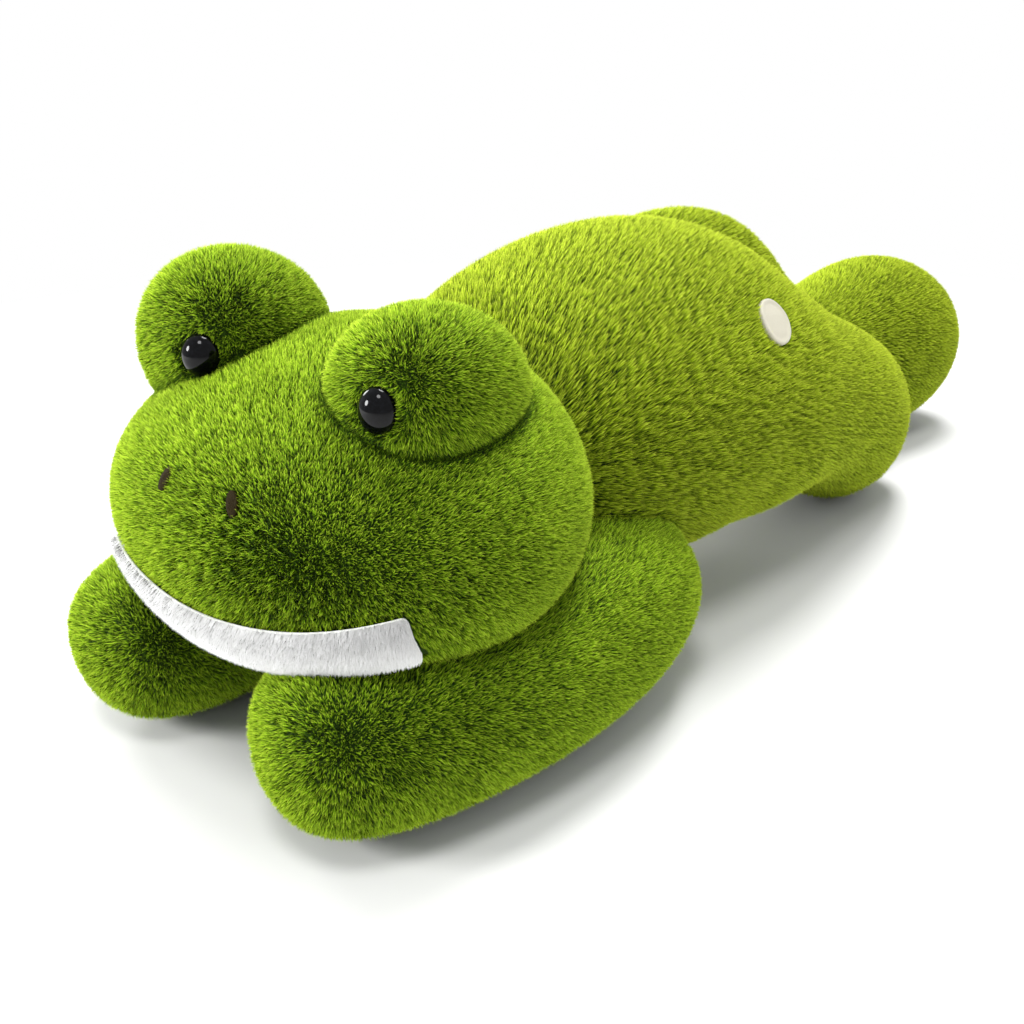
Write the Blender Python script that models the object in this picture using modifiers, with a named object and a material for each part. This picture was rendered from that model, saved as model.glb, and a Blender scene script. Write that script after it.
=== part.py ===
# A lying plush frog: sewn skins, their stuffing, safety eyes and sewn-on trim.
# Metres, +Z up, the face towards -Y, the frog's left side towards +X.

import math

import bmesh
import bpy
import numpy as np
from mathutils import Matrix, Vector
from mathutils.bvhtree import BVHTree

# Where the middle of the footprint lies in the design frame, moved to the origin at the end
footprint_middle = (-0.0027, 0.0138)

# Cloth, stuffing and clearances
skin_wall = 0.004
seam_gap = 0.0003
flat_depth = 0.0005
cut_overrun = 0.03

# Counts: points around a ring of the outer forms and of the stuffing, and facets of turned pieces
torso_ring_count = 10
limb_ring_count = 8
stuffing_ring_count = 6
turned_count = 16
smile_count = 8

# Torso: its sizes, its foremost point and the height of its middle
torso_length = 0.339
torso_width = 0.208
torso_height = 0.206
torso_front = -0.236
torso_middle = 0.130
neck_hole_radius = 0.040

# Each ring: how far along, sideways and up its centre lies, then its width and height
torso_ring_shares = (
    (0.00, 0.00, -0.02, 0.12, 0.12),
    (0.02, 0.00, -0.02, 0.56, 0.44),
    (0.132, 0.00, 0.00, 0.85, 0.77),
    (0.345, 0.00, 0.00, 0.96, 0.965),
    (0.548, 0.00, -0.01, 1.00, 0.98),
    (0.711, 0.00, -0.07, 0.92, 0.83),
    (0.843, 0.00, -0.155, 0.72, 0.54),
    (0.954, 0.00, -0.19, 0.42, 0.31),
    (1.00, 0.00, -0.19, 0.12, 0.12),
)

# Head, turned a little to its left and rolled about the neck joint
head_length = 0.190
head_width = 0.235
head_height = 0.159
head_front = -0.388
head_middle = 0.1255
head_turn = math.radians(7.5)
head_roll = math.radians(3)
head_ring_shares = (
    (0.00, 0.00, -0.02, 0.12, 0.14),
    (0.035, 0.00, -0.02, 0.51, 0.50),
    (0.19, 0.00, -0.01, 0.84, 0.78),
    (0.44, 0.00, 0.00, 1.00, 0.96),
    (0.73, 0.00, 0.01, 0.91, 1.00),
    (0.96, 0.00, 0.02, 0.63, 0.72),
    (1.00, 0.00, 0.02, 0.12, 0.14),
)

# Eye mounds, a pair that stands on the head a little to its right, the left one pressed lower
mound_length = 0.0875
mound_width = 0.078
left_mound_height = 0.077
right_mound_height = 0.090
mound_front = -0.344
mound_middle = 0.189
mound_spread_share = 0.241
mound_pair_offset = -0.00615
mound_ring_shares = (
    (0.00, -0.03, 0.01, 0.22, 0.20),
    (0.04, -0.03, 0.01, 0.60, 0.57),
    (0.20, -0.01, 0.01, 0.89, 0.88),
    (0.45, 0.00, 0.00, 1.00, 1.00),
    (0.74, 0.01, -0.07, 0.90, 0.92),
    (0.96, 0.03, -0.20, 0.60, 0.63),
    (1.00, 0.03, -0.22, 0.19, 0.17),
)

# Arms lie forward under the chin: side distances of paw, elbow and shoulder
arm_length = 0.258
arm_width = 0.107
arm_height = 0.100
arm_middle = 0.049
left_arm_front = -0.386
right_arm_front = -0.392
left_arm_spreads = (0.056, 0.080, 0.066)
right_arm_spreads = (-0.073, -0.084, -0.066)
arm_spread_shares = (0.0, 0.5, 1.0)
arm_ring_shares = (
    (0.00, 0.0, -0.03, 0.19, 0.20),
    (0.025, 0.0, -0.03, 0.64, 0.66),
    (0.13, 0.0, -0.02, 0.90, 0.92),
    (0.33, 0.0, -0.01, 1.00, 0.97),
    (0.57, 0.0, 0.01, 0.97, 1.00),
    (0.80, 0.0, 0.04, 0.94, 1.00),
    (0.97, 0.0, 0.07, 0.67, 0.68),
    (1.00, 0.0, 0.07, 0.15, 0.16),
)

# Left leg, tucked in short behind its hip
left_leg_length = 0.271
left_leg_width = 0.130
left_leg_height = 0.148
left_leg_front = -0.050
left_leg_middle = 0.0795
left_leg_spread = 0.050
left_leg_ring_shares = (
    (0.00, 0.00, 0.30, 0.18, 0.16),
    (0.036, 0.00, 0.29, 0.70, 0.78),
    (0.218, -0.015, 0.26, 0.80, 0.87),
    (0.446, -0.08, 0.195, 0.88, 0.76),
    (0.642, -0.155, 0.03, 0.91, 0.84),
    (0.819, -0.205, -0.115, 0.82, 0.86),
    (0.964, -0.22, -0.15, 0.57, 0.58),
    (1.00, -0.22, -0.15, 0.15, 0.13),
)

# Right leg, stretched out behind the torso with a wide foot
right_leg_length = 0.460
right_leg_width = 0.152
right_leg_height = 0.168
right_leg_front = -0.040
right_leg_middle = 0.0895
right_leg_spread = -0.050
right_leg_ring_shares = (
    (0.00, 0.00, 0.32, 0.16, 0.14),
    (0.02, 0.03, 0.32, 0.60, 0.82),
    (0.155, 0.03, 0.33, 0.74, 0.99),
    (0.27, 0.02, 0.31, 0.77, 0.99),
    (0.40, -0.03, 0.045, 0.70, 0.74),
    (0.545, -0.05, -0.04, 0.68, 0.66),
    (0.69, -0.07, -0.045, 0.86, 0.83),
    (0.83, -0.09, -0.045, 1.00, 0.97),
    (0.975, -0.12, -0.05, 0.77, 0.70),
    (1.00, -0.12, -0.05, 0.16, 0.15),
)

# Safety eyes: a bead with its stem, and the washer that grips it inside the mound
eye_radius = 0.0085
eye_dome_height = 0.0065
eye_rim_height = 0.0012
eye_stem_radius = 0.0017
eye_stem_length = 0.014
eye_washer_radius = 0.0075
eye_washer_thickness = 0.0014
eye_spread_share = 0.2175
eye_pair_offset = 0.0085
eye_height = 0.192
eye_sink = 0.0020
dome_profile_shares = ((0.0, 1.0), (0.35, 0.94), (0.65, 0.76), (0.86, 0.51), (0.97, 0.22), (1.0, 0.0))

# Nostrils: two pads of satin stitch
nostril_width = 0.0052
nostril_height = 0.0108
nostril_thickness = 0.0030
nostril_spread = 0.0193
nostril_level = 0.1550
nostril_lean = math.radians(14)
nostril_segments = 12
nostril_rings = 6

# Mouth: a strip of short white plush sewn along a smiling line
mouth_half_span = 0.0875
mouth_far_end_share = 0.83
mouth_lower_edge = 0.0815
mouth_band_height = 0.0225
mouth_smile_rise = 0.0165
mouth_thickness = 0.0038
band_arm_gap = 0.004

# Round blank label sewn on the left flank
label_radius = 0.0135
label_thickness = 0.0010
label_along = -0.058
label_height = 0.177

# Joints: where the head lifts and where each limb swings outwards without meeting its neighbours
neck_joint = Vector((0.003, -0.214, 0.180))
left_shoulder = Vector((0.060, -0.090, 0.055))
right_shoulder = Vector((-0.060, -0.090, 0.055))
left_hip = Vector((0.100, -0.045, 0.080))
right_hip = Vector((-0.100, -0.030, 0.095))

leaf_green = (0.130, 0.235, 0.020, 1.0)
stuffing_white = (0.84, 0.84, 0.82, 1.0)
eye_black = (0.006, 0.006, 0.008, 1.0)
washer_white = (0.74, 0.75, 0.76, 1.0)
thread_brown = (0.060, 0.036, 0.018, 1.0)
plush_white = (0.76, 0.77, 0.75, 1.0)
label_cream = (0.80, 0.77, 0.66, 1.0)


def clear_scene():
    for item in list(bpy.data.objects):
        bpy.data.objects.remove(item, do_unlink=True)
    for collection in list(bpy.data.collections):
        bpy.data.collections.remove(collection)


def new_collection(name):
    collection = bpy.data.collections.new(name)
    bpy.context.scene.collection.children.link(collection)
    return collection


def new_material(name, colour, roughness):
    material = bpy.data.materials.new(name)
    material.use_nodes = True
    shader = material.node_tree.nodes["Principled BSDF"]
    shader.inputs["Base Color"].default_value = colour
    shader.inputs["Roughness"].default_value = roughness
    shader.inputs["Metallic"].default_value = 0.0
    material.diffuse_color = colour
    return material


def new_empty(name, place, parent=None):
    empty = bpy.data.objects.new(name, None)
    empty.location = place
    empty.parent = parent
    parts.objects.link(empty)
    return empty


def carry(item, carrier):
    """Parent a piece modelled in the design frame to the empty that carries it."""
    item.parent = carrier
    if carrier is not root:
        item.matrix_parent_inverse = Matrix.Translation(-carrier.location)
    return item


def as_guide(item):
    """Make a cutter or a guide of an object."""
    item.hide_render = True
    item.display_type = "WIRE"
    for collection in list(item.users_collection):
        collection.objects.unlink(item)
    cutters.objects.link(item)
    return item


def object_from(name, mesh_maker, material, carrier):
    mesh = bpy.data.meshes.new(name)
    mesh_maker.to_mesh(mesh)
    mesh_maker.free()
    item = bpy.data.objects.new(name, mesh)
    item.data.materials.append(material)
    parts.objects.link(item)
    return carry(item, carrier)


def loft(name, rings, material, carrier):
    """A closed cage through rings of points, with a flat cap at each end."""
    maker = bmesh.new()
    rows = [[maker.verts.new(point) for point in ring] for ring in rings]
    count = len(rows[0])
    for row, beyond in zip(rows, rows[1:]):
        for index in range(count):
            after = (index + 1) % count
            maker.faces.new((row[index], row[after], beyond[after], beyond[index]))
    maker.faces.new(rows[0])
    maker.faces.new(rows[-1])
    bmesh.ops.recalc_face_normals(maker, faces=maker.faces)
    return object_from(name, maker, material, carrier)


def stations(shares, front, spread, middle, length, width, height):
    """Ring centres and half sizes, from a table of shares and the sizes that it follows."""
    table = np.array(shares)
    side = np.interp(table[:, 0], arm_spread_shares, np.broadcast_to(spread, 3))
    inward = math.copysign(1.0, side[0])
    across = side + inward * table[:, 1] * width
    centres = np.stack([across, front + table[:, 0] * length, middle + table[:, 2] * height], 1)
    halves = table[:, 3:5] * (width, height) / 2
    return centres, halves


def inner_stations(centres, halves, inset):
    """The same run without its tips, drawn in all round by an inset."""
    centres = centres[1:-1].copy()
    halves = halves[1:-1] - inset
    first = centres[1] - centres[0]
    last = centres[-2] - centres[-1]
    centres[0] += first / np.linalg.norm(first) * inset
    centres[-1] += last / np.linalg.norm(last) * inset
    return centres, halves


def soft_form(name, run, count, material, carrier):
    """A stuffed form: elliptical rings square to their path, smoothed by subdivision."""
    centres, halves = run
    along = np.gradient(centres, axis=0)
    along /= np.linalg.norm(along, axis=1, keepdims=True)
    side = np.cross(along, (0.0, 0.0, 1.0))
    side /= np.linalg.norm(side, axis=1, keepdims=True)
    up = np.cross(side, along)
    step = 2 * math.pi / count
    angle = np.arange(count) * step
    # The cage stands out by what one round of subdivision draws in
    reach = 1 / (0.75 + 0.25 * math.cos(step))
    across = np.cos(angle)[None, :, None] * side[:, None] * halves[:, 0, None, None]
    upward = np.sin(angle)[None, :, None] * up[:, None] * halves[:, 1, None, None]
    rings = centres[:, None] + reach * (across + upward)
    item = loft(name, rings.tolist(), material, carrier)
    smooth = item.modifiers.new("smooth", "SUBSURF")
    smooth.levels = 1
    smooth.render_levels = 1
    # Set diagonals, so that a grown or shrunk copy of the form runs parallel to it
    item.modifiers.new("diagonals", "TRIANGULATE")
    item.data.shade_smooth()
    return item


def grown(form, name, amount, material=None):
    """A copy of a form, grown all round by an amount, or shrunk where it is negative."""
    copy = form.copy()
    copy.data = form.data.copy()
    copy.name = name
    copy.data.materials[0] = material or green
    parts.objects.link(copy)
    copy.hide_render = False
    copy.display_type = "TEXTURED"
    grow = copy.modifiers.new("grow", "DISPLACE")
    grow.strength = amount
    grow.mid_level = 0.0
    return copy


def cut(item, cutter, operation="DIFFERENCE"):
    change = item.modifiers.new(cutter.name, "BOOLEAN")
    change.operation = operation
    change.object = cutter
    return item


def seat_on(form, start, direction):
    """Where a line meets a form, and the form's outward direction there, in the design frame."""
    tree = BVHTree.FromObject(form, bpy.context.evaluated_depsgraph_get())
    place, normal, _, _ = tree.ray_cast(Vector(start), Vector(direction))
    return place, normal


def facing(place, normal, spin=0.0):
    """The frame that stands on a seat with its own Z along the outward direction."""
    turn = normal.to_track_quat("Z", "Y").to_matrix().to_4x4()
    return Matrix.Translation(place) @ turn @ Matrix.Rotation(spin, 4, "Z")


def turned(name, profile, frame, material, carrier, closed=False):
    """A profile of radius and height turned about the Z axis of a frame."""
    maker = bmesh.new()
    points = [maker.verts.new((radius, 0.0, height)) for radius, height in profile]
    for start, end in zip(points, points[1:]):
        maker.edges.new((start, end))
    if closed:
        maker.edges.new((points[-1], points[0]))
    item = object_from(name, maker, material, carrier)
    screw = item.modifiers.new("turn", "SCREW")
    screw.steps = turned_count
    screw.render_steps = turned_count
    screw.use_merge_vertices = True
    screw.merge_threshold = seam_gap / 10
    item.matrix_basis = frame
    return item


def floor_cutter():
    """A slab whose top is the floor, wide enough for every limb."""
    reach = torso_length + right_leg_length
    maker = bmesh.new()
    bmesh.ops.create_cube(maker, size=1.0)
    bmesh.ops.scale(maker, vec=(reach, 2 * reach, cut_overrun), verts=maker.verts)
    bmesh.ops.translate(maker, vec=(0.0, 0.0, -cut_overrun / 2), verts=maker.verts)
    return as_guide(object_from("floor_slab", maker, green, root))


def rest_on_floor(form):
    """Lower or raise a form until its lowest point dips below the floor by the flat's depth."""
    bpy.context.view_layer.update()
    finished = form.evaluated_get(bpy.context.evaluated_depsgraph_get()).data
    lowest = min(vertex.co.z for vertex in finished.vertices)
    form.data.transform(Matrix.Translation((0.0, 0.0, -flat_depth - lowest)))
    return -flat_depth - lowest


def stuffed_piece(name, run, count, carrier, neighbours, lift=0.0, openings=()):
    """The sewn skin of a form, open where its neighbours cut it, and the stuffing inside."""
    shell = soft_form(name + "_skin", run, count, green, carrier)
    inner_run = inner_stations(*run, skin_wall)
    cavity = soft_form(name + "_cavity", inner_run, stuffing_ring_count, green, carrier)
    for item in (shell, cavity):
        item.data.transform(Matrix.Translation((0.0, 0.0, lift)))
    fill = grown(cavity, name + "_fill", -seam_gap, white_fibre)
    cut(shell, as_guide(cavity))
    for neighbour in neighbours:
        cut(shell, neighbour)
        cut(fill, neighbour)
    for opening in openings:
        cut(shell, opening)
    return shell, fill


def neck_hole():
    """The opening through which torso and head are stuffed."""
    maker = bmesh.new()
    reach = neck_hole_radius
    bmesh.ops.create_cone(
        maker, cap_ends=True, segments=turned_count, radius1=reach, radius2=reach, depth=cut_overrun)
    hole = object_from("neck_hole", maker, green, root)
    middle = (0.0, torso_front, torso_middle)
    hole.matrix_basis = Matrix.Translation(middle) @ Matrix.Rotation(math.pi / 2, 4, "X")
    return as_guide(hole)


def eye(side_name, side, mound, mound_shell, mound_fill):
    """A bead with its stem through the skin, and its washer behind the skin."""
    start = (eye_pair_offset + side * eye_spread_share * head_width, head_front - head_length, eye_height)
    place, normal = seat_on(mound, start, (0.0, 1.0, 0.0))
    frame = facing(place - normal * eye_sink, normal)
    dome = [(share * eye_radius, eye_rim_height + rise * eye_dome_height)
            for share, rise in dome_profile_shares]
    tip = -eye_stem_length
    stem = [(eye_radius, 0.0), (eye_stem_radius, 0.0), (eye_stem_radius, tip), (0.0, tip)]
    turned(side_name + "_eye_bead", dome + stem, frame, black_plastic, head_joint)
    # The washer bears on the inner face of the skin, beyond the sunk bead
    top = -(skin_wall + seam_gap)
    bottom = top - eye_washer_thickness
    bore = eye_stem_radius + seam_gap
    ring = [(eye_washer_radius, top), (eye_washer_radius, bottom), (bore, bottom), (bore, top)]
    turned(side_name + "_eye_washer", ring, frame, white_plastic, head_joint, closed=True)
    # Room for both, cut from the skin and the stuffing
    rim = eye_radius + seam_gap
    edge = eye_washer_radius + seam_gap
    lip = top + seam_gap
    under = bottom - seam_gap
    floor = tip - seam_gap
    stem_room = [(bore, floor), (0.0, floor)]
    seat = [(0.0, eye_radius), (rim, eye_radius), (rim, -seam_gap), (bore, -seam_gap)] + stem_room
    cut(mound_shell, as_guide(turned(side_name + "_eye_seat", seat, frame, green, head_joint)))
    clearance = [(0.0, lip), (edge, lip), (edge, under), (0.0, under)]
    cut(mound_shell, as_guide(turned(side_name + "_washer_clearance", clearance, frame, green, head_joint)))
    room = [(0.0, 0.0), (edge, 0.0), (edge, under), (bore, under)] + stem_room
    cut(mound_fill, as_guide(turned(side_name + "_washer_room", room, frame, green, head_joint)))


def nostril(side_name, side, head, head_guide):
    start = (side * nostril_spread, head_front - head_length, nostril_level)
    place, normal = seat_on(head, start, (0.0, 1.0, 0.0))
    maker = bmesh.new()
    bmesh.ops.create_uvsphere(maker, u_segments=nostril_segments, v_segments=nostril_rings, radius=0.5)
    bmesh.ops.scale(maker, vec=(nostril_width, nostril_height, 2 * nostril_thickness), verts=maker.verts)
    pad = object_from(side_name + "_nostril", maker, brown_thread, head_joint)
    pad.matrix_basis = facing(place, normal, -side * nostril_lean)
    cut(pad, head_guide)


def mouth(head, neighbours):
    """A strip of the space just outside the head, between two smiling lines."""
    band = grown(head, "mouth_band", seam_gap + mouth_thickness, white_plush)
    across = np.linspace(-mouth_half_span * mouth_far_end_share, mouth_half_span, smile_count + 1)
    lower = mouth_lower_edge + mouth_smile_rise * (across / mouth_half_span) ** 2
    upper = lower + mouth_band_height
    front = head_front - cut_overrun
    back = head_front + head_length / 3
    rings = [((x, front, low), (x, back, low), (x, back, high), (x, front, high))
             for x, low, high in zip(across.tolist(), lower.tolist(), upper.tolist())]
    strip = as_guide(loft("mouth_strip", rings, white_plush, head_joint))
    cut(band, strip, "INTERSECT")
    for neighbour in neighbours:
        cut(band, neighbour)


def label(torso, torso_guide):
    """A round woven patch that follows the flank."""
    start = (torso_width, label_along, label_height)
    place, normal = seat_on(torso, start, (-1.0, 0.0, 0.0))
    patch = grown(torso, "round_label", seam_gap + label_thickness, cream_cloth)
    maker = bmesh.new()
    bmesh.ops.create_cone(
        maker, cap_ends=True, segments=2 * turned_count, radius1=label_radius, radius2=label_radius,
        depth=cut_overrun)
    disc = object_from("label_disc", maker, cream_cloth, root)
    disc.matrix_basis = facing(place, normal)
    cut(patch, as_guide(disc), "INTERSECT")
    cut(patch, torso_guide)


clear_scene()
parts = new_collection("plush_frog")
cutters = new_collection("cutters")
green = new_material("green_plush", leaf_green, 0.95)
white_fibre = new_material("polyester_stuffing", stuffing_white, 1.0)
black_plastic = new_material("black_eye_plastic", eye_black, 0.12)
white_plastic = new_material("white_washer_plastic", washer_white, 0.5)
brown_thread = new_material("brown_thread", thread_brown, 0.8)
white_plush = new_material("white_plush", plush_white, 0.95)
cream_cloth = new_material("cream_label_cloth", label_cream, 0.8)

root = new_empty("plush_frog_root", (0.0, 0.0, 0.0))
head_joint = new_empty("neck_joint", neck_joint, root)
head_joint.rotation_euler = (0.0, head_roll, head_turn)
left_arm_joint = new_empty("left_shoulder_joint", left_shoulder, root)
right_arm_joint = new_empty("right_shoulder_joint", right_shoulder, root)
left_leg_joint = new_empty("left_hip_joint", left_hip, root)
right_leg_joint = new_empty("right_hip_joint", right_hip, root)

torso_run = stations(
    torso_ring_shares, torso_front, 0.0, torso_middle, torso_length, torso_width, torso_height)
head_run = stations(head_ring_shares, head_front, 0.0, head_middle, head_length, head_width, head_height)
torso_form = as_guide(soft_form("torso_form", torso_run, torso_ring_count, green, root))
head_form = as_guide(soft_form("head_form", head_run, torso_ring_count, green, head_joint))
torso_clear = as_guide(grown(torso_form, "torso_clear", seam_gap))
head_clear = as_guide(grown(head_form, "head_clear", seam_gap))
floor_slab = floor_cutter()

stuffed_piece("torso", torso_run, torso_ring_count, root, (), openings=(neck_hole(),))
stuffed_piece("head", head_run, torso_ring_count, head_joint, (torso_clear,))

for side_name, side, height in (("left", 1, left_mound_height), ("right", -1, right_mound_height)):
    spread = mound_pair_offset + side * mound_spread_share * head_width
    run = stations(mound_ring_shares, mound_front, spread, mound_middle, mound_length, mound_width, height)
    mound_form = as_guide(soft_form(side_name + "_mound_form", run, limb_ring_count, green, head_joint))
    shell, fill = stuffed_piece(
        side_name + "_eye_mound", run, limb_ring_count, head_joint, (head_clear, torso_clear))
    eye(side_name, side, mound_form, shell, fill)
    nostril(side_name, side, head_form, head_clear)
label(torso_form, torso_clear)

arm_clears = []
arm_places = (
    ("left_arm", left_arm_front, left_arm_spreads, left_arm_joint),
    ("right_arm", right_arm_front, right_arm_spreads, right_arm_joint),
)
for name, front, spreads, joint in arm_places:
    run = stations(arm_ring_shares, front, spreads, arm_middle, arm_length, arm_width, arm_height)
    form = as_guide(soft_form(name + "_form", run, limb_ring_count, green, joint))
    lift = rest_on_floor(form)
    arm_clears.append(as_guide(grown(form, name + "_clear", band_arm_gap)))
    stuffed_piece(name, run, limb_ring_count, joint, (torso_clear, head_clear, floor_slab), lift)
mouth(head_form, [head_clear] + arm_clears)

right_leg_run = stations(
    right_leg_ring_shares, right_leg_front, right_leg_spread, right_leg_middle,
    right_leg_length, right_leg_width, right_leg_height)
right_leg_form = as_guide(
    soft_form("right_leg_form", right_leg_run, limb_ring_count, green, right_leg_joint))
right_leg_lift = rest_on_floor(right_leg_form)
right_leg_clear = as_guide(grown(right_leg_form, "right_leg_clear", seam_gap))
stuffed_piece(
    "right_leg", right_leg_run, limb_ring_count, right_leg_joint, (torso_clear, floor_slab), right_leg_lift)

left_leg_run = stations(
    left_leg_ring_shares, left_leg_front, left_leg_spread, left_leg_middle,
    left_leg_length, left_leg_width, left_leg_height)
left_leg_form = as_guide(
    soft_form("left_leg_form", left_leg_run, limb_ring_count, green, left_leg_joint))
left_leg_lift = rest_on_floor(left_leg_form)
stuffed_piece(
    "left_leg", left_leg_run, limb_ring_count, left_leg_joint,
    (torso_clear, right_leg_clear, floor_slab), left_leg_lift)

root.location = (-footprint_middle[0], -footprint_middle[1], 0.0)
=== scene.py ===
# A plush frog that lies on its belly: stuffed skins of short green pile, white pile band for a mouth,
# glossy bead eyes, stitched nostrils and a small blank cloth label. Blender 4.5, metres.
import math
import bpy
import numpy as np
from mathutils import Matrix


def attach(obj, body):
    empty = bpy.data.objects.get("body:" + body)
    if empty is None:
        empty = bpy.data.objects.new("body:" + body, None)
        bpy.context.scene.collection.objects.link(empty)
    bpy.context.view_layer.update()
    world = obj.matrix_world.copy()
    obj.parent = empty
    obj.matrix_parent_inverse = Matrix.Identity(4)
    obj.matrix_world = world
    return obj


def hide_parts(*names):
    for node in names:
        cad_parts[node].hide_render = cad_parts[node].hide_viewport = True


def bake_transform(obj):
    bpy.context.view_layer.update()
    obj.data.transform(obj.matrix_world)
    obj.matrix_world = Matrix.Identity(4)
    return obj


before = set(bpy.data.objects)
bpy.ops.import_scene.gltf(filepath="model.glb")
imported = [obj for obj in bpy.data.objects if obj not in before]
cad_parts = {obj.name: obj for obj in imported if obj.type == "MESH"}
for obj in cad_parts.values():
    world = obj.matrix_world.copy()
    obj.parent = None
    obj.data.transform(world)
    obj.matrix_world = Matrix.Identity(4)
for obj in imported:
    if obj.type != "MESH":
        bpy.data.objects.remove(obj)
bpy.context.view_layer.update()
print("frame loaded")


# Colours and nodes: one function turns a hex colour linear, one adds a node
def linear(hexColour):
    parts = np.array([int(hexColour[i:i + 2], 16) for i in (1, 3, 5)]) / 255
    low, high = parts / 12.92, ((parts + 0.055) / 1.055) ** 2.4
    return (*np.where(parts <= 0.04045, low, high).tolist(), 1.0)


def addNode(tree, kind, settings=None, links=None):
    node = tree.nodes.new("ShaderNode" + kind)
    for key, value in (settings or {}).items():
        if isinstance(key, int) or key in node.inputs:
            node.inputs[key].default_value = value
        else:
            setattr(node, key, value)
    for key, source in (links or {}).items():
        tree.links.new(source, node.inputs[key])
    return node


def newMaterial(name, settings):
    material = bpy.data.materials.new(name)
    material.use_nodes = True
    tree = material.node_tree
    shader = tree.nodes["Principled BSDF"]
    for key, value in settings.items():
        shader.inputs[key].default_value = value
    return material, tree, shader


def addRamp(tree, value, stops):
    node = addNode(tree, "ValToRGB", {}, {0: value})
    elements = node.color_ramp.elements
    while len(elements) < len(stops):
        elements.new(0.5)
    for element, (place, colour) in zip(elements, stops):
        element.position = place
        element.color = linear(colour)
    return node.outputs["Color"]


def setColour(tree, shader, value, stops):
    tree.links.new(addRamp(tree, value, stops), shader.inputs["Base Color"])


def setBump(tree, shader, height, strength, distance):
    bump = addNode(tree, "Bump", {"Strength": strength, "Distance": distance}, {"Height": height})
    tree.links.new(bump.outputs["Normal"], shader.inputs["Normal"])


def setGloss(tree, shader, value, settings):
    gloss = addNode(tree, "MapRange", settings, {"Value": value})
    tree.links.new(gloss.outputs["Result"], shader.inputs["Roughness"])


def onObject(tree, kind, settings):
    place = addNode(tree, "TexCoord")
    return addNode(tree, kind, settings, {"Vector": place.outputs["Object"]})


# Polyester pile: each ramp darkens towards the roots, painted shade deep in the pile (near black in the
# greens), and brightens to the tips, in the greens partly the fibre's own yellow-green and partly painted
# light on the lit tips.
# u of the map is the tone of a fibre, v runs from its root to its tip
pileColours = {
    "greenDeep": [(0.0, "#0a1400"), (0.45, "#2a4000"), (1.0, "#6c8804")],
    "greenPale": [(0.0, "#2b4600"), (0.45, "#94b40a"), (1.0, "#ecfa50")],
    # A greener copy of the same pile ramps, painted shade: the hue the pile shows in shade, for the head,
    # mounds and arms
    "shadedGreenDeep": [(0.0, "#071200"), (0.45, "#2a4a02"), (1.0, "#66920a")],
    "shadedGreenPale": [(0.0, "#224200"), (0.45, "#8cba12"), (1.0, "#e0f84e")],
    "whiteDeep": [(0.0, "#f4f4f1"), (0.40, "#f9f9f7"), (1.0, "#fdfdfc")],
    "whitePale": [(0.0, "#f8f8f6"), (0.40, "#fcfcfb"), (1.0, "#ffffff")],
}


def pileMaterial(name, deep, pale, sheenTint):
    material, tree, shader = newMaterial(name, {
        "Roughness": 0.72, "IOR": 1.48, "Specular IOR Level": 0.08,
        "Sheen Weight": 0.28, "Sheen Roughness": 0.45, "Sheen Tint": linear(sheenTint)})
    fibre = addNode(tree, "UVMap", {"uv_map": "OFBake"})
    split = addNode(tree, "SeparateXYZ", {}, {0: fibre.outputs["UV"]})
    # Along v each ramp runs from painted shade at the roots to the tips, which are partly painted light
    dark = addRamp(tree, split.outputs["Y"], pileColours[deep])
    light = addRamp(tree, split.outputs["Y"], pileColours[pale])
    addedTone = addNode(tree, "Mix", {"data_type": "RGBA"}, {0: split.outputs["X"], 6: dark, 7: light})
    tree.links.new(addedTone.outputs[2], shader.inputs["Base Color"])
    return material


# Knitted polyester backing that the pile stands on, seen only between fibres; the green one's near-black
# greens are partly the knit's own colour and partly painted shade deep in the pile
def backingMaterial(name, darkColour, lightColour, stitchMm):
    material, tree, shader = newMaterial(name, {"Roughness": 0.9, "Specular IOR Level": 0.2})
    loops = onObject(tree, "TexVoronoi", {"Scale": 1000 / stitchMm})
    patches = onObject(tree, "TexNoise", {"Scale": 60.0, "Detail": 4.0})
    shade = addNode(tree, "Math", {"operation": "MULTIPLY"}, {
        0: loops.outputs["Distance"], 1: patches.outputs["Fac"]})
    setColour(tree, shader, shade.outputs["Value"], [(0.05, darkColour), (0.4, lightColour)])
    setBump(tree, shader, loops.outputs["Distance"], 0.5, 0.0004)
    return material


# Crimped hollow polyester staple: soft white fibres in loose lumps
def stuffingMaterial():
    material, tree, shader = newMaterial("polyesterStuffing", {
        "Roughness": 0.95, "Sheen Weight": 0.3, "Specular IOR Level": 0.2})
    lumps = onObject(tree, "TexNoise", {"Scale": 90.0, "Detail": 8.0, "Distortion": 1.5})
    setColour(tree, shader, lumps.outputs["Fac"], [(0.3, "#d2d2cc"), (0.7, "#f4f4f0")])
    setBump(tree, shader, lumps.outputs["Fac"], 0.7, 0.001)
    return material


# Moulded black ABS safety eye, polished in the mould: mirror gloss with faint dust
def eyeMaterial():
    material, tree, shader = newMaterial("mouldedBlackPlastic", {"IOR": 1.49, "Specular IOR Level": 0.20})
    dust = onObject(tree, "TexNoise", {"Scale": 900.0, "Detail": 3.0}).outputs["Fac"]
    setColour(tree, shader, dust, [(0.45, "#030304"), (0.75, "#0d0e12")])
    setGloss(tree, shader, dust, {"From Min": 0.4, "From Max": 0.8, "To Min": 0.035, "To Max": 0.14})
    return material


# Moulded natural polypropylene washer: milky, satin, with a fine eroded texture
def washerMaterial():
    material, tree, shader = newMaterial("mouldedPolypropylene", {"IOR": 1.49, "Subsurface Weight": 0.05})
    grain = onObject(tree, "TexNoise", {"Scale": 1500.0, "Detail": 2.0}).outputs["Fac"]
    setColour(tree, shader, grain, [(0.3, "#dddcd4"), (0.7, "#efeee8")])
    setGloss(tree, shader, grain, {"To Min": 0.38, "To Max": 0.55})
    return material


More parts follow.
